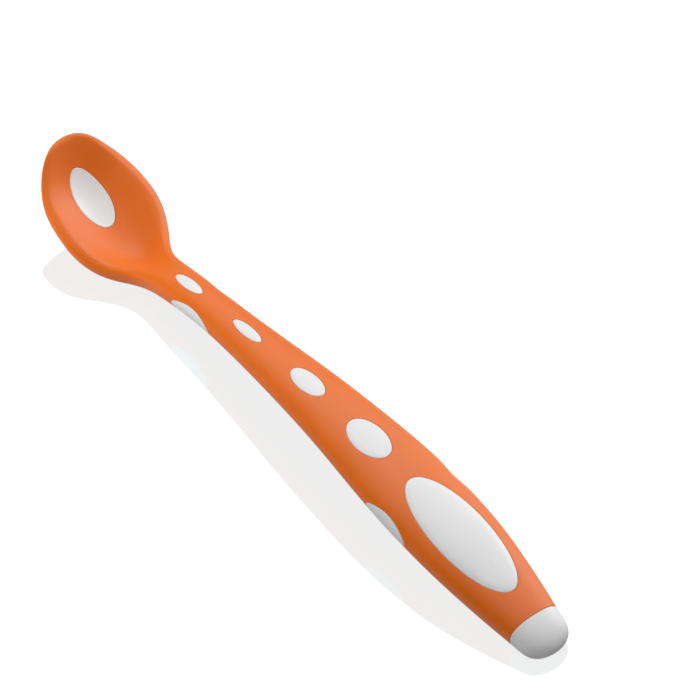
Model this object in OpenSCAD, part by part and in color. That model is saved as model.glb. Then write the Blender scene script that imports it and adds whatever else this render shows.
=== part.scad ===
// Soft-bowl baby spoon: a hard white core with a soft skin moulded over it.
// X runs along the spoon, bowl tip at -X. Z is up. The origin is on the table, midway along.

/* [Spoon] */
// Length from the tip of the bowl to the end of the handle
spoon_length = 150; // [130:1:170]
// Length of the bowl, from its tip to the start of the neck
bowl_length = 28.7; // [26:0.1:34]
// Length of the neck, from the bowl to the start of the grip
neck_length = 24.3; // [20:0.1:30]

/* [Bowl] */
// Width of the bowl over its rim
bowl_width = 22.2; // [18:0.2:26]
// Height of the bowl's tip above the table
tip_height = 18; // [15:0.5:20]
// Height of the bowl from rim to belly
bowl_height = 6; // [5.5:0.25:7]
// Depth of the dish under the rim
dish_depth = 4; // [2.5:0.25:4.25]
// Width of the rounded rim round the dish
rim_width = 1.4; // [1:0.1:2]

/* [Neck and grip] */
// Width of the neck at its narrowest
neck_width = 8.2; // [7:0.2:10]
// Thickness of the neck
neck_thickness = 6; // [5:0.25:7]
// Width of the grip at its widest
grip_width = 18; // [14:0.2:20]
// Thickness of the grip at its thickest
grip_thickness = 8.1; // [7:0.1:9]
// Height of the top of the arch's mid line above the table
arch_height = 12; // [10:0.5:14]

/* [Core and skin] */
// Thickness of the soft skin over the stem
skin_thickness = 1.3; // [1:0.1:1.6]
// Thickness of the soft skin over the tongue in the bowl
bowl_skin = 0.6; // [0.5:0.05:0.7]
// Length of the bare end of the core
end_length = 6.9; // [5:0.1:9]
// Length of the oval window in the bowl
bowl_window_length = 11.1; // [7:0.1:11.5]
// Width of the oval window in the bowl
bowl_window_width = 6.7; // [4:0.1:8]
// Length of the thumb pad
thumb_pad_length = 30.8; // [24:0.1:32]
// Width of the thumb pad
thumb_pad_width = 11.7; // [8:0.1:12.4]
// Length of the side pads by the neck
neck_pad_length = 11.6; // [10:0.2:15]
// Length of the side pads by the thumb pad
grip_pad_length = 12; // [8:0.2:15]
// Angle at which the side pads face down
side_pad_tilt = 10; // [0:1:20]

/* [Hidden] */
grip_length = spoon_length - bowl_length - neck_length;

// Sections of the bowl: place along it, then shares of its width, tip height, height above the
// widest line, height below it and dish depth, then how square the upper corners are.
bowl_shares = [
    [0.04, 0.42, 1.00, 0.15, 0.22, 0.00, 2.6],
    [0.12, 0.71, 0.79, 0.20, 0.42, 0.38, 3.0],
    [0.26, 0.94, 0.60, 0.26, 0.59, 0.75, 3.6],
    [0.44, 1.00, 0.50, 0.28, 0.65, 0.92, 4.0],
    [0.61, 1.00, 0.38, 0.28, 0.67, 0.87, 4.0],
    [0.79, 0.79, 0.25, 0.28, 0.69, 0.62, 3.8],
    [0.95, 0.46, 0.28, 0.30, 0.72, 0.30, 3.2],
];

// Sections of the neck: place along it, then shares of its width, arch height and thickness
// above and below the widest line, a share of the dish depth, and the squareness.
neck_shares = [
    [0.10, 1.01, 0.54, 0.33, 0.71, 0.09, 2.7],
    [0.27, 1.00, 0.63, 0.37, 0.68, 0.00, 2.4],
    [0.46, 1.00, 0.71, 0.38, 0.63, 0.00, 2.3],
    [0.69, 1.00, 0.78, 0.38, 0.57, 0.00, 2.3],
];

// Sections of the grip: place along it, then shares of its width, arch height and thickness
// above and below the widest line, a share of the dish depth, and the squareness.
grip_shares = [
    [0.00, 0.49, 0.84, 0.29, 0.38, 0.00, 2.3],
    [0.10, 0.57, 0.91, 0.30, 0.36, 0.00, 2.3],
    [0.23, 0.70, 0.99, 0.33, 0.39, 0.00, 2.3],
    [0.35, 0.81, 1.00, 0.36, 0.43, 0.00, 2.3],
    [0.48, 0.96, 0.93, 0.40, 0.48, 0.00, 2.3],
    [0.60, 1.02, 0.83, 0.44, 0.52, 0.00, 2.3],
    [0.72, 0.99, 0.71, 0.45, 0.54, 0.00, 2.3],
    [0.81, 0.87, 0.57, 0.43, 0.52, 0.00, 2.3],
    [0.89, 0.74, 0.44, 0.41, 0.49, 0.00, 2.3],
    [0.94, 0.63, 0.35, 0.40, 0.46, 0.00, 2.3],
    [0.985, 0.60, 0.28, 0.31, 0.35, 0.00, 2.3],
];

// Dots along the top: place along the spoon, then length and width as shares of the grip's width.
dot_shares = [
    [0.262, 0.43, 0.14],
    [0.380, 0.45, 0.14],
    [0.502, 0.51, 0.25],
    [0.625, 0.62, 0.38],
];
// Places of the other pads along the spoon, and of the window along the bowl.
thumb_pad_share = 0.81;
neck_pad_share = 0.2965;
grip_pad_share = 0.7285;
window_share = 0.345;
// Height of a side pad, and its axis above the mid line, as shares of the half width there,
// then the angle at which the pad rises towards the end of the handle.
neck_pad_shares = [0.97, -0.01, 8];
grip_pad_shares = [0.40, 0.16, -6];
// Where a side pad starts inside the grip, as a share of the half width there.
side_pad_start_share = 0.5;

// The dish falls away inside the rim, and is never narrower than this.
least_dish = 0.1;
dish_roundness = 1.4;
belly_squareness = 2.2;
// Height cut from the underside, so that the spoon rests on two small flats.
table_flat = 0.9;
// Distance from the edge of the skin to the edge of the tongue and of the stem.
tongue_margin = 3.4;
stem_margin = 1.7;
least_core_half = 1;
// Starts of the tongue, the window's recess and the thickening stem, as shares of the bowl.
tongue_start_share = 0.12;
window_start_share = 0.06;
stem_start_share = 0.8;
// Length of the thickening stem, as a share of the neck.
stem_start_length_share = 0.5;
// Past every surface that a cut or a pad goes through.
reach = 2*max(bowl_width, grip_width);

// Rings between two control sections, degrees between points of a ring, sides of an oval.
steps = 3;
outer_step = 9;
core_step = 15;
oval_sides = 48;

// One control section: place, half width, height, rise, drop, dish, squareness.
function bowl_section(r) =
    let(x = r[0]*bowl_length, high = bowl_height*r[3], low = bowl_height*r[4])
    [x, bowl_width/2*r[1], tip_height*r[2], high, low, dish_depth*r[5], r[6]];
function stem_section(r, start, length, width, thickness) =
    [start + length*r[0], width/2*r[1], arch_height*r[2], thickness*r[3], thickness*r[4],
        dish_depth*r[5], r[6]];

controls = concat(
    [for (r = bowl_shares) bowl_section(r)],
    [for (r = neck_shares) stem_section(r, bowl_length, neck_length, neck_width, neck_thickness)],
    [for (r = grip_shares)
        stem_section(r, bowl_length + neck_length, grip_length, grip_width, grip_thickness)]
);

// Past each end the controls are mirrored, so the ends close in smooth noses.
function mirrored(c) = [c[0], -c[1], c[2], -c[3], -c[4], c[5], c[6]];
function nose(c, end) = [end + (end - c[0])/2, 0, c[2], 0, 0, c[5], c[6]];
first = controls[0];
last = controls[len(controls) - 1];
all_controls = concat(
    [mirrored(first), nose(first, 0)],
    controls,
    [nose(last, spoon_length), mirrored(last)]
);

// Uniform cubic B-spline through the controls.
function spline(i, t) = (
    all_controls[i]*pow(1 - t, 3)
    + all_controls[i + 1]*(3*pow(t, 3) - 6*t*t + 4)
    + all_controls[i + 2]*(-3*pow(t, 3) + 3*t*t + 3*t + 1)
    + all_controls[i + 3]*pow(t, 3)
)/6;
spans = len(all_controls) - 3;
sections = [for (i = [0:spans - 1], k = [0:steps - 1]) if (i + k > 0) spline(i, k/steps)];
tip = spline(0, 0);
tail = spline(spans - 1, 1);

// Section at a place along the spoon, between its two neighbours.
function section_at(x) =
    let(after = [for (i = [1:len(sections) - 1]) if (sections[i][0] >= x) i][0])
    let(a = sections[after - 1], b = sections[after])
    a + (b - a)*(x - a[0])/(b[0] - a[0]);

function arc(q, n) = pow(max(0, 1 - pow(q, n)), 1/n);
function dish(s, y) =
    let(inner = max(s[1] - rim_width, least_dish), q = abs(y)/inner)
    q < 1 ? s[5]*pow(1 - q*q, dish_roundness) : 0;
function top_at(s, y) = s[2] + s[3]*arc(abs(y)/s[1], s[6]) - dish(s, y);
function belly_at(s, y) = s[2] - s[4]*arc(abs(y)/s[1], belly_squareness);
function place(x, y, z) = [x - spoon_length/2, y, z - table_flat];
function side(a, n) = sign(cos(a))*pow(abs(cos(a)), 2/n);

function outer_ring(s) = concat(
    [for (a = [0:outer_step:180]) let(y = s[1]*side(a, s[6])) place(s[0], y, top_at(s, y))],
    [for (a = [180 - outer_step:-outer_step:outer_step])
        let(y = s[1]*side(a, belly_squareness)) place(s[0], y, belly_at(s, y))]
);
function core_ring(s, half, over, under) = concat(
    [for (a = [0:core_step:180]) let(y = half*cos(a)) place(s[0], y, top_at(s, y) - over)],
    [for (a = [180:-core_step:0]) let(y = half*cos(a)) place(s[0], y, belly_at(s, y) + under)]
);

// Skin over a closed row of rings, with triangles between neighbours.
module loft(rings, ends) {
    n = len(rings[0]);
    m = len(rings);
    points = concat([for (r = rings) each r], ends);
    sides = [for (i = [0:m - 2], j = [0:n - 1])
        let(a = i*n + j, b = i*n + (j + 1)%n)
        each [[a, b + n, b], [a, a + n, b + n]]];
    closed = len(ends) == 0
        ? [[for (j = [0:n - 1]) j], [for (j = [n - 1:-1:0]) (m - 1)*n + j]]
        : concat(
            [for (j = [0:n - 1]) [j, (j + 1)%n, m*n]],
            [for (j = [0:n - 1]) [(m - 1)*n + (j + 1)%n, (m - 1)*n + j, m*n + 1]]
        );
    polyhedron(points, concat(sides, closed));
}

module outside() {
    intersection() {
        loft(
            [for (s = sections) outer_ring(s)],
            [place(tip[0], 0, tip[2]), place(tail[0], 0, tail[2])]
        );
        translate([-spoon_length, -spoon_length/2, 0])
            cube([2*spoon_length, spoon_length, spoon_length]);
    }
}

// The stem fills the handle and thins into the tongue of the bowl.
function blend(x) =
    min(1, max(0, (x - stem_start_share*bowl_length)/(stem_start_length_share*neck_length)));
function cover(x) = bowl_skin + (skin_thickness - bowl_skin)*blend(x);
function core_half(s) =
    let(edge = tongue_margin + (stem_margin - tongue_margin)*blend(s[0]))
    max(s[1] - edge, least_core_half);
core_sections = [for (s = sections)
    if (s[0] > tongue_start_share*bowl_length && s[0] < spoon_length - end_length/2) s];

module stem() {
    loft([for (s = core_sections) core_ring(s, core_half(s), cover(s[0]), cover(s[0]))], []);
}

module oval(length, width, height) {
    linear_extrude(height) scale([length, width]/2) circle(1, $fn = oval_sides);
}

module bowl_window() {
    x = window_share*bowl_length;
    intersection() {
        translate([x - spoon_length/2, 0, 0])
            oval(bowl_window_length, bowl_window_width, reach);
        loft([for (s = sections) if (s[0] > window_start_share*bowl_length && s[0] < bowl_length)
            core_ring(s, s[1] - rim_width, -bowl_skin, bowl_skin)], []);
    }
}

module top_boss(share, length, width) {
    s = section_at(share*spoon_length);
    translate(place(s[0], 0, s[2])) oval(length, width, reach);
}

module side_boss(share, length, shares) {
    s = section_at(share*spoon_length);
    for (turn = [-1, 1])
        translate(place(s[0], 0, s[2] + shares[1]*s[1]))
            rotate([turn*(90 + side_pad_tilt), 0, 0])
                translate([0, 0, side_pad_start_share*s[1]])
                    rotate(turn*shares[2])
                        oval(length, shares[0]*s[1], reach);
}

module bosses() {
    bowl_window();
    for (d = dot_shares) top_boss(d[0], d[1]*grip_width, d[2]*grip_width);
    top_boss(thumb_pad_share, thumb_pad_length, thumb_pad_width);
    side_boss(neck_pad_share, neck_pad_length, neck_pad_shares);
    side_boss(grip_pad_share, grip_pad_length, grip_pad_shares);
    translate([spoon_length/2 - end_length, -reach, -reach]) cube(2*reach);
}

// A piece made of smooth lofts is joined as one mesh, at the size it already has.
module one_mesh() {
    resize([0, 0, 0]) children();
}

module hard_core() {
    color("whitesmoke")
    one_mesh()
    union() {
        stem();
        intersection() {
            outside();
            bosses();
        }
    }
}

module soft_skin() {
    color("darkorange")
    one_mesh()
    difference() {
        outside();
        stem();
        bosses();
    }
}

hard_core();
soft_skin();
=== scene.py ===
import math
import bpy
import numpy as np
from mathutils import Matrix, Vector


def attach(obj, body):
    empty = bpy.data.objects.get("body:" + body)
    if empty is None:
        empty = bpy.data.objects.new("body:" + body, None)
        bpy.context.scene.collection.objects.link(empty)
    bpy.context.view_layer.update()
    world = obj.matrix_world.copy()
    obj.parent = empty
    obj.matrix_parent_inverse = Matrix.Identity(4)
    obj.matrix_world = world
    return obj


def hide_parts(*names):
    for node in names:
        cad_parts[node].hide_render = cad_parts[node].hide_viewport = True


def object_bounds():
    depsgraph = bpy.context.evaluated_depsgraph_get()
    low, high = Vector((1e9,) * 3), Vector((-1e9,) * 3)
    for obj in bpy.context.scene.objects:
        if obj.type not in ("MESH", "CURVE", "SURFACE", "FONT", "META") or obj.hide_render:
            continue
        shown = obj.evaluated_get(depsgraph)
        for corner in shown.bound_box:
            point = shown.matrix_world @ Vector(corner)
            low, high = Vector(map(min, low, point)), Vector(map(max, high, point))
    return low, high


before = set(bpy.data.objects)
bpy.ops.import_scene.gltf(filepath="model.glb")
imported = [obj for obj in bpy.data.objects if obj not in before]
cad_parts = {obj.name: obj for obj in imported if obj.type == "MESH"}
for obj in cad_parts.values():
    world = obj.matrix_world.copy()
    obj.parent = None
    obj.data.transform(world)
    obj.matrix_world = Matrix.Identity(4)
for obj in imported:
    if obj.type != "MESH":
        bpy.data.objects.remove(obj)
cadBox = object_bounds()
bpy.ops.object.select_all(action="DESELECT")
mm = 0.001
print("frame loaded:", len(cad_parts), "nodes")

# Camera: a long lens from the photograph's side
view = {
    "azimuth": 50.42,      # degrees from +Y
    "elevation": 50.25,
    "width": 134.77 * mm,  # what the frame spans across the spoon
    "aimRight": 8.32 * mm,  # middle of the picture, from the origin
    "aimUp": 14.52 * mm,
    "distance": 5,
    "nearest": 0.1,
    "farthest": 50,
}


def addCamera():
    turn = math.radians(view["azimuth"])
    lift = math.radians(view["elevation"])
    back = Vector((math.sin(turn) * math.cos(lift), -math.cos(turn) * math.cos(lift), math.sin(lift)))
    right = Vector((math.cos(turn), math.sin(turn), 0))
    up = back.cross(right)
    aim = right * view["aimRight"] + up * view["aimUp"]
    bpy.ops.object.camera_add(location=aim + back * view["distance"])
    camera = bpy.context.object
    camera.rotation_euler = back.to_track_quat("Z", "Y").to_euler()
    camera.data.lens = camera.data.sensor_width * view["distance"] / view["width"]
    camera.data.clip_start = view["nearest"]
    camera.data.clip_end = view["farthest"]
    bpy.context.scene.camera = camera


addCamera()
print("camera placed")

# The spoon's own form: sections along it, as shares of its main sizes
form = {
    "length": cadBox[1][0] - cadBox[0][0],
    "bowlLength": 28.7 * mm,
    "neckLength": 24.3 * mm,
    "bowlWidth": 22.2 * mm,
    "tipHeight": 18 * mm,
    "bowlHeight": 6 * mm,
    "dishDepth": 4 * mm,
    "rimWidth": 1.4 * mm,
    "leastDish": 0.1 * mm,  # the dish is never narrower
    "neckWidth": 8.2 * mm,
    "neckThickness": 6 * mm,
    "gripWidth": 18 * mm,
    "gripThickness": 8.1 * mm,
    "archHeight": 12 * mm,
    "dishRoundness": 1.4,
    "bellySquareness": 2.2,
    "tableFlat": 0.9 * mm,  # cut from the underside
    "spanSteps": 40,        # stations between two sections
    "crownCrowding": 0.45,  # draws the lines of the mesh towards the rim
    "slopeStep": 0.04 * mm,  # how far apart the skin is felt for its slope
    "slopeTurn": 0.002,
}

# Place along, half width, height, rise, drop, dish, squareness
bowlShares = [
    (0.04, 0.42, 1.00, 0.15, 0.22, 0.00, 2.6),
    (0.12, 0.71, 0.79, 0.20, 0.42, 0.38, 3.0),
    (0.26, 0.94, 0.60, 0.26, 0.59, 0.75, 3.6),
    (0.44, 1.00, 0.50, 0.28, 0.65, 0.92, 4.0),
    (0.61, 1.00, 0.38, 0.28, 0.67, 0.87, 4.0),
    (0.79, 0.79, 0.25, 0.28, 0.69, 0.62, 3.8),
    (0.95, 0.46, 0.28, 0.30, 0.72, 0.30, 3.2),
]
neckShares = [
    (0.10, 1.01, 0.54, 0.33, 0.71, 0.09, 2.7),
    (0.27, 1.00, 0.63, 0.37, 0.68, 0.00, 2.4),
    (0.46, 1.00, 0.71, 0.38, 0.63, 0.00, 2.3),
    (0.69, 1.00, 0.78, 0.38, 0.57, 0.00, 2.3),
]
gripShares = [
    (0.00, 0.49, 0.84, 0.29, 0.38, 0.00, 2.3),
    (0.10, 0.57, 0.91, 0.30, 0.36, 0.00, 2.3),
    (0.23, 0.70, 0.99, 0.33, 0.39, 0.00, 2.3),
    (0.35, 0.81, 1.00, 0.36, 0.43, 0.00, 2.3),
    (0.48, 0.96, 0.93, 0.40, 0.48, 0.00, 2.3),
    (0.60, 1.02, 0.83, 0.44, 0.52, 0.00, 2.3),
    (0.72, 0.99, 0.71, 0.45, 0.54, 0.00, 2.3),
    (0.81, 0.87, 0.57, 0.43, 0.52, 0.00, 2.3),
    (0.89, 0.74, 0.44, 0.41, 0.49, 0.00, 2.3),
    (0.94, 0.63, 0.35, 0.40, 0.46, 0.00, 2.3),
    (0.985, 0.60, 0.28, 0.31, 0.35, 0.00, 2.3),
]


def placeRows(shares, start, length, width, height, thickness):
    rows = []
    for place, half, high, rise, drop, dish, squareness in shares:
        rows.append([start + length * place, width / 2 * half, height * high, thickness * rise,
                     thickness * drop, form["dishDepth"] * dish, squareness])
    return rows


def closeEnd(row, end):
    nose = [end + (end - row[0]) / 2, 0, row[2], 0, 0, row[5], row[6]]
    mirrored = [row[0], -row[1], row[2], -row[3], -row[4], row[5], row[6]]
    return mirrored, nose


def makeSections():
    gripStart = form["bowlLength"] + form["neckLength"]
    rows = placeRows(bowlShares, 0, form["bowlLength"], form["bowlWidth"],
                     form["tipHeight"], form["bowlHeight"])
    rows += placeRows(neckShares, form["bowlLength"], form["neckLength"], form["neckWidth"],
                      form["archHeight"], form["neckThickness"])
    rows += placeRows(gripShares, gripStart, form["length"] - gripStart, form["gripWidth"],
                      form["archHeight"], form["gripThickness"])
    before, tipNose = closeEnd(rows[0], 0)
    after, endNose = closeEnd(rows[-1], form["length"])
    points = np.array([before, tipNose] + rows + [endNose, after])
    smooth = []
    for span in range(len(points) - 3):
        last = span == len(points) - 4
        for t in np.linspace(0, 1, form["spanSteps"], endpoint=False).tolist() + [1.0] * last:
            weights = np.array([(1 - t) ** 3, 3 * t**3 - 6 * t * t + 4,
                                -3 * t**3 + 3 * t * t + 3 * t + 1, t**3]) / 6
            smooth.append(weights @ points[span:span + 4])
    return np.array(smooth)


sections = makeSections()
edgeSteps = np.hypot(np.diff(sections[:, 0]), np.diff(sections[:, 1]))
edgeLength = np.concatenate([[0], np.cumsum(edgeSteps)])  # distance along the spoon's edge
print("form drawn: edge of %.1f mm" % (edgeLength[-1] / mm))


def sectionAt(along):
    return [np.interp(along, edgeLength, sections[:, k]) for k in range(7)]


def alongAt(x):
    return np.interp(x, sections[:, 0], edgeLength)


def arc(share, squareness):
    return np.maximum(0, 1 - np.minimum(share, 1) ** squareness) ** (1 / squareness)


def dishAt(y, half, dish):
    inner = np.maximum(half - form["rimWidth"], form["leastDish"])
    share = np.minimum(np.abs(y) / inner, 1)
    return dish * (1 - share**2) ** form["dishRoundness"]


# Around is -1 along the belly, 0 at the edge on +Y, 1 along the crown, 2 at the other edge, 3 = -1
def onSkin(along, around):
    x, half, middle, rise, drop, dish, squareness = sectionAt(along)
    turned = (around + 1) % 4
    fromCrown = np.abs(turned - 2)
    top = fromCrown <= 1
    fromMiddle = np.where(top, fromCrown, 2 - fromCrown)
    corner = np.where(top, squareness, form["bellySquareness"])
    angle = math.pi / 2 * (1 - fromMiddle) / (1 - form["crownCrowding"] * fromMiddle)
    across = np.maximum(np.cos(angle), 0)
    reach = (across ** corner + np.sin(angle) ** corner) ** (-1 / corner)
    y = half * reach * across * np.where(turned < 2, 1, -1)
    high = reach * np.sin(angle)
    z = np.where(top, middle + rise * high - dishAt(y, half, dish), middle - drop * high)
    return np.stack([x - form["length"] / 2, y, z - form["tableFlat"]], -1)


def skinNormals(along, around):
    step = form["slopeStep"]
    turn = form["slopeTurn"]
    low = np.maximum(along - step, 0)
    high = np.minimum(along + step, edgeLength[-1])
    lengthways = onSkin(high, around) - onSkin(low, around)
    sideways = onSkin(along, around + turn) - onSkin(along, around - turn)
    normals = np.cross(sideways, lengthways)
    normals[along < step] = (-1, 0, 0)
    normals[along > edgeLength[-1] - step] = (1, 0, 0)
    return normals / np.linalg.norm(normals, axis=1, keepdims=True)


# The core inside: a stem in the handle that thins into a tongue in the bowl
core = {
    "skinThickness": 1.3 * mm,
    "bowlSkin": 0.6 * mm,
    "tongueMargin": 3.4 * mm,
    "stemMargin": 1.7 * mm,
    "leastHalf": 1 * mm,
    "tongueStart": 0.12 * form["bowlLength"],
    "stemStart": 0.8 * form["bowlLength"],
    "stemStartLength": 0.5 * form["neckLength"],
    "endLength": 6.9 * mm,
    "gap": 0.02 * mm,  # between the skin and the core at every seam
}


def onStem(along, around):
    start = alongAt(core["tongueStart"])
    inward = np.clip(sectionAt(along)[0] / core["tongueStart"], 0, 1)
    along = np.maximum(along, start)
    x, half, middle, rise, drop, dish, squareness = sectionAt(along)
    blend = np.clip((x - core["stemStart"]) / core["stemStartLength"], 0, 1)
    cover = core["bowlSkin"] + (core["skinThickness"] - core["bowlSkin"]) * blend
    margin = core["tongueMargin"] + (core["stemMargin"] - core["tongueMargin"]) * blend
    stemHalf = np.maximum(half - margin, core["leastHalf"])
    outer = onSkin(along, around)[:, 1]
    y = np.clip(outer, -stemHalf, stemHalf)
    share = np.abs(y) / half
    highest = middle + rise * arc(share, squareness) - dishAt(y, half, dish) - cover
    lowest = middle - drop * arc(share, form["bellySquareness"]) + cover
    heart = (highest + lowest) / 2
    z = np.where(np.abs(around - 1) <= 1, highest, lowest)
    pastEdge = np.clip((np.abs(outer) - stemHalf) / (half - stemHalf), 0, 1)
    z = z + (heart - z) * pastEdge
    heartLine = middle + (rise - drop - dish) / 2
    z = heartLine + (z - heartLine) * inward
    return np.stack([x - form["length"] / 2, y * inward, z - form["tableFlat"]], -1)


# Windows in the skin, where the core's pads come up
windows = []
windowShape = {
    "sideTilt": math.radians(10),  # the side pads face a little down
    "edgeRound": 0.13 * mm,        # rounding of the skin at a window
    "edgeSteps": 5,
    "bowlPlace": 0.345,            # as a share of the bowl's length
    "bowlSize": (11.1 * mm, 6.7 * mm),
    "thumbPlace": 0.81,            # as a share of the spoon's length
    "thumbSize": (30.8 * mm, 11.7 * mm),
    "bowlCrown": 0,                # how far a pad swells above the skin
    "dotCrown": 0.08 * mm,
    "thumbCrown": 0.15 * mm,
    "sideCrown": 0.03 * mm,
    "bowlVertices": 112,           # points round each oval
    "dotVertices": 80,
    "thumbVertices": 176,
    "sideVertices": 88,
}


def addWindow(name, x, length, width, vertices, crown, side=0, above=0, lean=0):
    section = sectionAt(alongAt(x))
    tilt = windowShape["sideTilt"]
    middle = section[2] - form["tableFlat"]
    window = {"name": name, "x": x - form["length"] / 2, "halfLength": length / 2,
              "halfWidth": width / 2, "vertices": vertices, "crown": crown, "side": side, "lean": lean,
              "centre": np.array([x - form["length"] / 2, 0, middle + above])}
    if side:
        window["up"] = np.array([0, side * math.sin(tilt), math.cos(tilt)])
    else:
        window["up"] = np.array([0, 1, 0])
    windows.append(window)


def halfWidthAt(share):
    return sectionAt(alongAt(share * form["length"]))[1]


# Place along the spoon, then length and width as shares of the grip's width
dotShares = [
    (0.262, 0.43, 0.14),
    (0.380, 0.45, 0.14),
    (0.502, 0.51, 0.25),
    (0.625, 0.62, 0.38),
]
# Name, place along the spoon, length, height and rise in half widths of the spoon there, lean in degrees
sidePads = [
    ("neckPad", 0.2965, 11.6 * mm, 0.97, -0.01, 8),
    ("gripPad", 0.7285, 12 * mm, 0.40, 0.16, -6),
]
addWindow("bowlWindow", windowShape["bowlPlace"] * form["bowlLength"], *windowShape["bowlSize"],
          windowShape["bowlVertices"], windowShape["bowlCrown"])
for number, (place, long, wide) in enumerate(dotShares):
    addWindow("dot%d" % (number + 1), place * form["length"], long * form["gripWidth"],
              wide * form["gripWidth"], windowShape["dotVertices"], windowShape["dotCrown"])
addWindow("thumbPad", windowShape["thumbPlace"] * form["length"], *windowShape["thumbSize"],
          windowShape["thumbVertices"], windowShape["thumbCrown"])
for side in (-1, 1):
    for name, place, long, high, above, lean in sidePads:
        half = halfWidthAt(place)
        addWindow(name, place * form["length"], long, high * half, windowShape["sideVertices"],
                  windowShape["sideCrown"], side, above * half, math.radians(lean))


# Each piece is laid out flat, distance along the edge by way around, and wrapped on the form at the end
sheet = {
    "aroundScale": 10 * mm,   # one quarter of the way round
    "stemLevel": -1 * mm,     # where the stem lies on the flat layout, under the skin's zero
    "cellLength": 0.55 * mm,
    "cellsAround": 112,
    "clearance": 0.55 * mm,   # opened in the mesh round a window
    "layingSteps": 400,       # fineness with which a window is laid on the layout
    "bow": 0.3 * mm**2,       # bends straight runs of the mesh inwards while a gap is filled
    "bowReach": 1 * mm,
    "smoothAngle": math.radians(40),
    "mergeDistance": 0.001 * mm,
    "nearly": 0.0001 * mm,
}


def edit(obj, mode="VERT"):
    bpy.ops.object.select_all(action="DESELECT")
    obj.select_set(True)
    bpy.context.view_layer.objects.active = obj
    bpy.ops.object.mode_set(mode="EDIT")
    bpy.ops.mesh.select_mode(type=mode)
    bpy.ops.mesh.select_all(action="DESELECT")


def leaveEdit():
    bpy.ops.object.mode_set(mode="OBJECT")


def readPoints(mesh):
    points = np.zeros(len(mesh.vertices) * 3)
    mesh.vertices.foreach_get("co", points)
    return points.reshape(-1, 3)


def writePoints(mesh, points):
    mesh.vertices.foreach_set("co", np.ascontiguousarray(points).ravel())
    mesh.update()


def deleteFaces(obj, test):
    edit(obj, "FACE")
    leaveEdit()
    centres = np.zeros(len(obj.data.polygons) * 3)
    obj.data.polygons.foreach_get("center", centres)
    obj.data.polygons.foreach_set("select", test(centres.reshape(-1, 3)))
    bpy.ops.object.mode_set(mode="EDIT")
    bpy.ops.mesh.delete(type="FACE")
    leaveEdit()


def selectOpenEdges(obj, test):
    edit(obj, "EDGE")
    bpy.ops.mesh.select_non_manifold(use_wire=False, use_multi_face=False,
                                     use_non_contiguous=False, use_verts=False)
    leaveEdit()
    good = test(readPoints(obj.data))
    ends = np.zeros(len(obj.data.edges) * 2, dtype=int)
    picked = np.zeros(len(obj.data.edges), dtype=bool)
    obj.data.edges.foreach_get("vertices", ends)
    obj.data.edges.foreach_get("select", picked)
    ends = ends.reshape(-1, 2)
    bpy.ops.object.mode_set(mode="EDIT")
    bpy.ops.mesh.select_all(action="DESELECT")
    leaveEdit()
    obj.data.edges.foreach_set("select", picked & good[ends[:, 0]] & good[ends[:, 1]])
    bpy.ops.object.mode_set(mode="EDIT")


def fillBetween(obj, test):  # at a thousand times the size, because fill joins points closer than 0.03 mm
    selectOpenEdges(obj, test)
    leaveEdit()
    points = readPoints(obj.data)
    bowed = points.copy()
    for window in windows:
        arm = points[:, :2] - window["flatCentre"]
        distance = np.maximum(np.hypot(arm[:, 0], arm[:, 1]), sheet["bowReach"])
        bowed[:, :2] -= arm * (sheet["bow"] / distance**2)[:, None]
    writePoints(obj.data, bowed / mm)
    bpy.ops.object.mode_set(mode="EDIT")
    bpy.ops.mesh.fill(use_beauty=True)
    leaveEdit()
    writePoints(obj.data, points)


def joinTo(obj, others):
    bpy.ops.object.select_all(action="DESELECT")
    for other in others:
        other.select_set(True)
    obj.select_set(True)
    bpy.context.view_layer.objects.active = obj
    bpy.ops.object.join()


def addSheet(name, start, end, cellLength, height):
    cells = round((end - start) / cellLength)
    wide = 4 * sheet["aroundScale"]
    bpy.ops.mesh.primitive_grid_add(x_subdivisions=cells, y_subdivisions=sheet["cellsAround"], size=1,
                                    location=((start + end) / 2, sheet["aroundScale"], height))
    obj = bpy.context.object
    obj.name = name
    obj.scale = (end - start, wide, 1)
    bpy.ops.object.transform_apply()
    return obj


def onBorder(points, end):
    around = points[:, 1] / sheet["aroundScale"]
    return (points[:, 0] < sheet["nearly"]) | (np.abs(around - 1) > 2 - sheet["nearly"]) \
        | (points[:, 0] > end - sheet["nearly"])


def layFlat(window, points):  # from the window's own flat oval to the flat layout
    lean = window["lean"]
    along = points[:, 0] * math.cos(lean) - points[:, 1] * math.sin(lean)
    across = points[:, 0] * math.sin(lean) + points[:, 1] * math.cos(lean)
    laid = points.copy()
    laid[:, 0] = alongAt(window["x"] + form["length"] / 2 + along)
    span = (-1, 1) if window["side"] else (2, 0)
    ways = np.linspace(*span, sheet["layingSteps"] + 1)
    mirror = np.array([1, window["side"] or 1, 1])
    for k in range(len(points)):
        line = onSkin(np.full(len(ways), laid[k, 0]), ways) * mirror
        heights = (line - window["centre"]) @ window["up"]
        top = np.argmax(heights) + 1
        laid[k, 1] = np.interp(across[k], heights[:top], ways[:top])
    if window["side"] < 0:
        laid[:, 1] = 2 - laid[:, 1]
    laid[:, 1] *= sheet["aroundScale"]
    return laid


def layWindow(window, obj):
    points = layFlat(window, readPoints(obj.data))
    window["flatCentre"] = points[:, :2].mean(axis=0)
    writePoints(obj.data, points)


def windowOutline(window, grow):
    angles = np.linspace(0, 2 * math.pi, window["vertices"], endpoint=False)
    ring = np.stack([(window["halfLength"] + grow) * np.cos(angles),
                     (window["halfWidth"] + grow) * np.sin(angles), 0 * angles], -1)
    return layFlat(window, ring)[:, :2]


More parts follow.
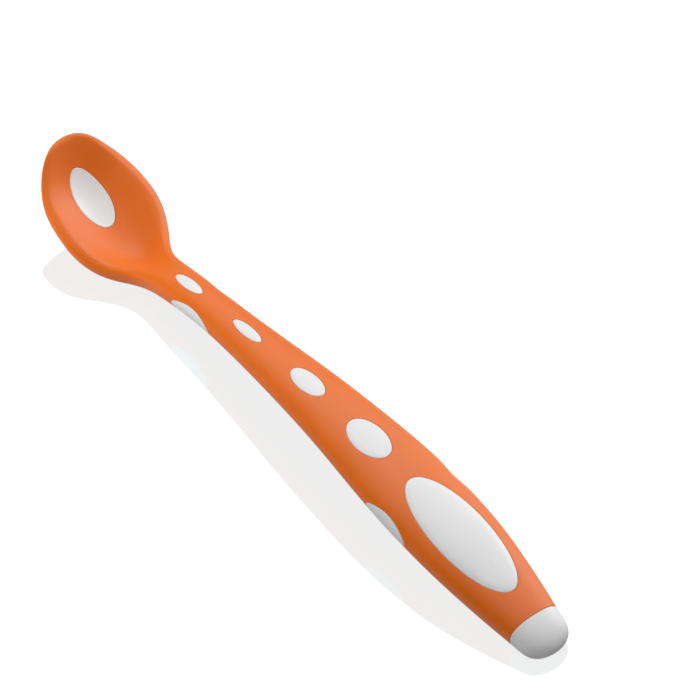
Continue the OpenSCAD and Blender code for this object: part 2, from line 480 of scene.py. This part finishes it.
def nearWindow(points, grow):
    found = np.zeros(len(points), dtype=bool)
    for window in windows:
        outline = windowOutline(window, grow)
        low = outline.min(axis=0) - sheet["clearance"]
        high = outline.max(axis=0) + sheet["clearance"]
        near = np.nonzero(np.all((points[:, :2] > low) & (points[:, :2] < high), axis=1))[0]
        crossings = np.zeros(len(near), dtype=int)
        distance = np.full(len(near), np.inf)
        for a, b in zip(outline, np.roll(outline, -1, axis=0)):
            arm = points[near, :2] - a
            step = b - a
            share = np.clip(arm @ step / (step @ step), 0, 1)
            distance = np.minimum(distance, np.linalg.norm(arm - share[:, None] * step, axis=1))
            slant = step[0] / step[1] if step[1] else 0
            between = (arm[:, 1] > 0) != (arm[:, 1] > step[1])
            crossings += between & (arm[:, 0] < arm[:, 1] * slant)
        found[near] |= (crossings % 2 == 1) | (distance < sheet["clearance"])
    return found


def roundEdge():  # from the skin down into a window
    radius = windowShape["edgeRound"]
    angles = np.linspace(0, math.pi / 2, windowShape["edgeSteps"] + 1)
    return [(radius * (1 - math.sin(a)), radius * (math.cos(a) - 1)) for a in angles]


def addOval(window, grow, height):
    bpy.ops.mesh.primitive_circle_add(vertices=window["vertices"], radius=1, location=(0, 0, height))
    obj = bpy.context.object
    obj.scale = (window["halfLength"] + grow, window["halfWidth"] + grow, 1)
    bpy.ops.object.transform_apply()
    obj.name = window["name"]
    return obj


def extrudeOval(window, before, after):  # each is how far outside the oval, and how high
    scale = [(window[axis] + after[0]) / (window[axis] + before[0]) for axis in ("halfLength", "halfWidth")]
    bpy.ops.mesh.extrude_edges_move(TRANSFORM_OT_translate={"value": (0, 0, after[1] - before[1])})
    bpy.ops.transform.resize(value=(scale[0], scale[1], 1), center_override=(0, 0, 0))


def wrap(obj):
    mesh = obj.data
    flat = readPoints(mesh)
    kept = mesh.attributes.new("flatPlace", "FLOAT_VECTOR", "POINT")
    kept.data.foreach_set("vector", flat.ravel())
    along, around = flat[:, 0], flat[:, 1] / sheet["aroundScale"]
    onOutside = flat[:, 2] > sheet["stemLevel"] / 2
    outside = onSkin(along, around) + skinNormals(along, around) * flat[:, 2:3]
    points = np.where(onOutside[:, None], outside, onStem(along, around))
    points[:, 2] = np.maximum(points[:, 2], 0)
    writePoints(mesh, points)
    edit(obj)
    bpy.ops.mesh.select_all(action="SELECT")
    bpy.ops.mesh.remove_doubles(threshold=sheet["mergeDistance"])
    bpy.ops.mesh.normals_make_consistent(inside=False)
    leaveEdit()
    smooth(obj)


def smooth(obj):
    bpy.ops.object.shade_smooth_by_angle(angle=sheet["smoothAngle"])
    mesh = obj.data
    flat = np.zeros(len(mesh.vertices) * 3)
    mesh.attributes["flatPlace"].data.foreach_get("vector", flat)
    flat = flat.reshape(-1, 3)
    mesh.attributes.remove(mesh.attributes["flatPlace"])
    normals = skinNormals(flat[:, 0], flat[:, 1] / sheet["aroundScale"])
    normals[readPoints(mesh)[:, 2] < sheet["nearly"]] = (0, 0, -1)
    normals[np.abs(flat[:, 2]) > sheet["nearly"]] = 0
    mesh.normals_split_custom_set_from_vertices(normals.tolist())


# Soft skin: bowl, neck and sleeve of the grip, with its windows
def addLip(window):
    steps = roundEdge()
    obj = addOval(window, *steps[0])
    edit(obj)
    bpy.ops.mesh.select_all(action="SELECT")
    for before, after in zip(steps, steps[1:]):
        extrudeOval(window, before, after)
    leaveEdit()
    layWindow(window, obj)
    return obj


def makeSkin():
    steps = roundEdge()
    end = alongAt(form["length"] - core["endLength"]) - steps[0][0]
    skin = addSheet("softSkin", 0, end, sheet["cellLength"], 0)
    deleteFaces(skin, lambda centres: nearWindow(centres, windowShape["edgeRound"]))
    joinTo(skin, [addLip(window) for window in windows])
    fillBetween(skin, lambda points: ~onBorder(points, end) & (np.abs(points[:, 2]) < sheet["nearly"]))
    selectOpenEdges(skin, lambda points: points[:, 0] > end - sheet["nearly"])
    for before, after in zip(steps, steps[1:]):
        bpy.ops.mesh.extrude_edges_move(
            TRANSFORM_OT_translate={"value": (before[0] - after[0], 0, after[1] - before[1])})
    bpy.ops.mesh.select_all(action="SELECT")
    bpy.ops.mesh.extrude_region_move(TRANSFORM_OT_translate={"value": (0, 0, sheet["stemLevel"])})
    leaveEdit()
    deleteFaces(skin, lambda centres: onBorder(centres, math.inf))  # all borders but the end
    wrap(skin)
    return skin


skin = makeSkin()
print("skin moulded:", len(skin.data.polygons), "faces")


# Hard core: the hidden stem, the pads in the windows and the bare end
pad = {
    "edgeRound": 0.17 * mm,
    "edgeSteps": 5,
    "crownReach": 1.2 * mm,    # from its edge to its full height
    "leastShare": 0.01,        # keeps the slope real at the middle
    "insets": (0.2 * mm, 0.5 * mm, 0.8 * mm, 1.2 * mm),  # rings inside its rounded edge
    "ringStep": 0.4 * mm,
    "stemCellLength": 0.7 * mm,
    "endCellLength": 0.45 * mm,
}


def padEdge():  # from the stem up the wall and over the rounded edge
    radius = pad["edgeRound"]
    steps = [(-core["gap"], sheet["stemLevel"])]
    for angle in np.linspace(0, math.pi / 2, pad["edgeSteps"] + 1):
        steps.append((-core["gap"] - radius * (1 - math.cos(angle)), radius * (math.sin(angle) - 1)))
    return steps


def crownHeight(window, points):
    lengthShare = points[:, 0] / window["halfLength"]
    widthShare = points[:, 1] / window["halfWidth"]
    share = np.maximum(np.hypot(lengthShare, widthShare), pad["leastShare"])
    slope = np.hypot(lengthShare / window["halfLength"], widthShare / window["halfWidth"]) / share
    inside = np.clip((1 - share) / np.maximum(slope, pad["leastShare"]) / pad["crownReach"], 0, 1)
    return window["crown"] * inside * inside * (3 - 2 * inside)


def addPad(window):
    edge = padEdge()
    steps = list(edge)
    for inset in pad["insets"]:
        if window["halfWidth"] + edge[-1][0] - inset > pad["ringStep"]:
            steps.append((edge[-1][0] - inset, 0))
    obj = addOval(window, *steps[0])
    edit(obj)
    bpy.ops.mesh.select_all(action="SELECT")
    for before, after in zip(steps, steps[1:]):
        extrudeOval(window, before, after)
    rings = math.ceil((window["halfWidth"] + steps[-1][0]) / pad["ringStep"])
    for left in range(rings, 1, -1):
        bpy.ops.mesh.extrude_edges_move()
        bpy.ops.transform.resize(value=((left - 1) / left, (left - 1) / left, 1), center_override=(0, 0, 0))
    bpy.ops.mesh.extrude_edges_move()
    bpy.ops.mesh.merge(type="CENTER")
    leaveEdit()
    points = readPoints(obj.data)
    onTop = points[:, 2] > sheet["stemLevel"] / 2
    points[:, 2] += np.where(onTop, crownHeight(window, points), 0)
    writePoints(obj.data, points)
    layWindow(window, obj)
    return obj


def addEnd(start):
    steps = padEdge()[::-1]
    first = start - core["gap"] - steps[0][0]
    end = addSheet("end", first, edgeLength[-1], pad["endCellLength"], 0)
    selectOpenEdges(end, lambda points: points[:, 0] < first + sheet["nearly"])
    for before, after in zip(steps, steps[1:]):
        bpy.ops.mesh.extrude_edges_move(
            TRANSFORM_OT_translate={"value": (before[0] - after[0], 0, after[1] - before[1])})
    leaveEdit()
    return end


def makeCore():
    start = alongAt(form["length"] - core["endLength"]) + core["gap"]
    stem = addSheet("hardCore", 0, start, pad["stemCellLength"], sheet["stemLevel"])
    deleteFaces(stem, lambda centres: nearWindow(centres, 0))
    joinTo(stem, [addPad(window) for window in windows])
    fillBetween(stem, lambda points: ~onBorder(points, start)
                & (np.abs(points[:, 2] - sheet["stemLevel"]) < sheet["nearly"]))
    joinTo(stem, [addEnd(start)])
    wrap(stem)
    return stem


hardCore = makeCore()
print("core moulded:", len(hardCore.data.polygons), "faces")

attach(skin, "root")
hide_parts("soft_skin")
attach(hardCore, "root")
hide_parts("hard_core")


# Finishes
finish = {
    "cloudDetail": 4,
    "grainDetail": 2,
    "rippleDetail": 1,
    "noiseSpan": (0.3, 0.7),     # where most of a noise's values lie
    "wearSpan": (0.35, 0.65),    # and where the clouds thin the wear
    "leastWear": 0.3,
    "cloudRoughness": 0.04,      # how far clouds and grain move the roughness
    "grainRoughness": 0.03,
    "sheenRoughness": 0.3,
}


def addNoise(nodes, links, place, scale, detail):
    noise = nodes.new("ShaderNodeTexNoise")
    noise.inputs["Scale"].default_value = scale
    noise.inputs["Detail"].default_value = detail
    links.new(place, noise.inputs["Vector"])
    return noise.outputs["Fac"]


def remap(nodes, links, value, fromLow, fromHigh, low, high):
    level = nodes.new("ShaderNodeMapRange")
    level.inputs["From Min"].default_value = fromLow
    level.inputs["From Max"].default_value = fromHigh
    level.inputs["To Min"].default_value = low
    level.inputs["To Max"].default_value = high
    links.new(value, level.inputs["Value"])
    return level.outputs["Result"]


def combine(nodes, links, operation, first, second):
    result = nodes.new("ShaderNodeMath")
    result.operation = operation
    links.new(first, result.inputs[0])
    links.new(second, result.inputs[1])
    return result.outputs["Value"]


def mixColours(nodes, links, share, first, second):
    mix = nodes.new("ShaderNodeMix")
    mix.data_type = "RGBA"
    links.new(share, mix.inputs["Factor"])
    for socket, colour in (("A", first), ("B", second)):
        target = [item for item in mix.inputs if item.name == socket and item.type == "RGBA"][0]
        if isinstance(colour, tuple):
            target.default_value = (*colour, 1)
        else:
            links.new(colour, target)
    return [item for item in mix.outputs if item.type == "RGBA"][0]


def moulded(name, look):
    material = bpy.data.materials.new(name)
    material.use_nodes = True
    nodes = material.node_tree.nodes
    links = material.node_tree.links
    shader = nodes["Principled BSDF"]
    place = nodes.new("ShaderNodeTexCoord").outputs["Object"]
    clouds = addNoise(nodes, links, place, look["cloudScale"], finish["cloudDetail"])
    grain = addNoise(nodes, links, place, look["grainScale"], finish["grainDetail"])
    ripple = addNoise(nodes, links, place, look["rippleScale"], finish["rippleDetail"])
    edges = nodes.new("ShaderNodeNewGeometry").outputs["Pointiness"]
    rubbed = remap(nodes, links, edges, *look["wear"], 0, 1)
    patchy = remap(nodes, links, clouds, *finish["wearSpan"], finish["leastWear"], 1)
    worn = combine(nodes, links, "MULTIPLY", rubbed, patchy)
    cloudy = remap(nodes, links, clouds, *finish["noiseSpan"], 0, 1)
    mottled = mixColours(nodes, links, cloudy, look["deepColour"], look["paleColour"])
    colour = mixColours(nodes, links, worn, mottled, look["wornColour"])
    links.new(colour, shader.inputs["Base Color"])
    low = look["roughness"] - finish["cloudRoughness"]
    high = look["roughness"] + finish["cloudRoughness"]
    speck = finish["grainRoughness"]
    slow = remap(nodes, links, clouds, *finish["noiseSpan"], low, high)
    fine = remap(nodes, links, grain, *finish["noiseSpan"], -speck, speck)
    uneven = combine(nodes, links, "ADD", slow, fine)
    polish = remap(nodes, links, worn, 0, 1, 0, -look["polish"])
    links.new(combine(nodes, links, "ADD", uneven, polish), shader.inputs["Roughness"])
    shader.inputs["Specular IOR Level"].default_value = look["gloss"]
    shader.inputs["Sheen Weight"].default_value = look["sheen"]
    shader.inputs["Sheen Roughness"].default_value = finish["sheenRoughness"]
    shader.inputs["Sheen Tint"].default_value = (*look["sheenTint"], 1)
    wavy = nodes.new("ShaderNodeBump")
    wavy.inputs["Strength"].default_value = look["rippleStrength"]
    wavy.inputs["Distance"].default_value = look["rippleDepth"]
    links.new(ripple, wavy.inputs["Height"])
    rough = nodes.new("ShaderNodeBump")
    rough.inputs["Strength"].default_value = look["grainStrength"]
    rough.inputs["Distance"].default_value = look["grainDepth"]
    links.new(grain, rough.inputs["Height"])
    links.new(wavy.outputs["Normal"], rough.inputs["Normal"])
    links.new(rough.outputs["Normal"], shader.inputs["Normal"])
    return material


def setMaterial(obj, material):
    obj.data.materials.clear()
    obj.data.materials.append(material)


softOrange = {
    "deepColour": (0.735, 0.139, 0.005),
    "paleColour": (0.760, 0.149, 0.006),
    "wornColour": (0.785, 0.178, 0.013),
    "roughness": 0.52,
    "wear": (0.52, 0.60),    # sharpness of an edge where wear starts, and where it is full
    "polish": 0.08,          # how much smoother the edges are rubbed
    "gloss": 0.75,
    "sheen": 0.05,
    "sheenTint": (1.0, 0.75, 0.55),
    "cloudScale": 70,        # patches of about 15 mm
    "grainScale": 3200,      # spark-eroded grain of 0.3 mm
    "grainStrength": 0.6,
    "grainDepth": 0.02 * mm,
    "rippleScale": 220,
    "rippleStrength": 0.3,
    "rippleDepth": 0.05 * mm,
}
whiteCore = {
    "deepColour": (0.735, 0.737, 0.740),
    "paleColour": (0.765, 0.765, 0.762),
    "wornColour": (0.800, 0.800, 0.795),
    "roughness": 0.42,
    "wear": (0.64, 0.72),
    "polish": 0.10,
    "gloss": 0.5,
    "sheen": 0.0,
    "sheenTint": (1.0, 1.0, 1.0),
    "cloudScale": 90,
    "grainScale": 2600,
    "grainStrength": 0.5,
    "grainDepth": 0.012 * mm,
    "rippleScale": 260,
    "rippleStrength": 0.3,
    "rippleDepth": 0.03 * mm,
}
setMaterial(skin, moulded("softOrange", softOrange))
setMaterial(hardCore, moulded("whiteCore", whiteCore))
print("finishes set")


# Floor, lamps and surroundings
studio = {
    "floorSize": 16,
    "floorGlow": 0.84,
    "floorGloss": 0.16,
    "floorTint": (0.6, 0.9, 1.0),
    "floorRoughness": 0.02,
    "skyLight": 0.02,
    "softBoxDistance": 1.2,  # behind the spoon, where the floor mirrors it to the camera
    "softBoxSize": 0.75,
    "softBoxWatts": 4.8,
    "aimHeight": 10 * mm,
}
# Place, aim along the spoon, size, watts
rimLamp = ((0, 0.32, 0.16), 0, 0.22, 0.42)
fills = [  # soft lamps that leave no shine
    ((-0.13, -0.14, 0.05), -0.06, 0.12, 0.25),
    ((0, 0, 0.5), 0, 0.4, 0.84),
    ((0.6, -0.43, 0.22), 0, 0.3, 1.5),
    ((0, 0.28, 0.14), 0, 0.2, 0.50),
]


def addFloor():
    bpy.ops.mesh.primitive_plane_add(size=studio["floorSize"], location=(0, 0, 0))
    floor = bpy.context.object
    floor.name = "floor"
    floor.visible_diffuse = False
    floor.visible_shadow = False
    material = bpy.data.materials.new("paleFloor")
    material.use_nodes = True
    nodes = material.node_tree.nodes
    links = material.node_tree.links
    nodes.remove(nodes["Principled BSDF"])
    glow = nodes.new("ShaderNodeEmission")
    glow.inputs["Color"].default_value = (1, 1, 1, 1)
    glow.inputs["Strength"].default_value = studio["floorGlow"]
    gloss = nodes.new("ShaderNodeBsdfGlossy")
    tint = [studio["floorGloss"] * part for part in studio["floorTint"]]
    gloss.inputs["Color"].default_value = (*tint, 1)
    gloss.inputs["Roughness"].default_value = studio["floorRoughness"]
    both = nodes.new("ShaderNodeAddShader")
    links.new(glow.outputs["Emission"], both.inputs[0])
    links.new(gloss.outputs["BSDF"], both.inputs[1])
    links.new(both.outputs["Shader"], nodes["Material Output"].inputs["Surface"])
    setMaterial(floor, material)


def addLamp(name, place, aim, size, watts, shines):
    place = Vector(place)
    bpy.ops.object.light_add(type="AREA", location=place)
    lamp = bpy.context.object
    lamp.name = name
    lamp.data.size = size
    lamp.data.energy = watts
    lamp.rotation_euler = (place - Vector((aim, 0, studio["aimHeight"]))).to_track_quat("Z", "Y").to_euler()
    lamp.visible_camera = False
    lamp.visible_glossy = shines


def addLamps():
    turn = math.radians(view["azimuth"])
    lift = math.radians(view["elevation"])
    mirrored = Vector((-math.sin(turn) * math.cos(lift), math.cos(turn) * math.cos(lift), math.sin(lift)))
    place = mirrored * studio["softBoxDistance"]
    addLamp("softBox", place, 0, studio["softBoxSize"], studio["softBoxWatts"], True)
    addLamp("rimLamp", *rimLamp, True)
    for number, lamp in enumerate(fills):
        addLamp("fill%d" % (number + 1), *lamp, False)


def addSky():
    world = bpy.data.worlds.new("studio")
    bpy.context.scene.world = world
    world.use_nodes = True
    background = world.node_tree.nodes["Background"]
    background.inputs["Color"].default_value = (1, 1, 1, 1)
    background.inputs["Strength"].default_value = studio["skyLight"]


addFloor()
addLamps()
addSky()
bpy.context.scene.view_settings.view_transform = "Standard"
print("studio lit")
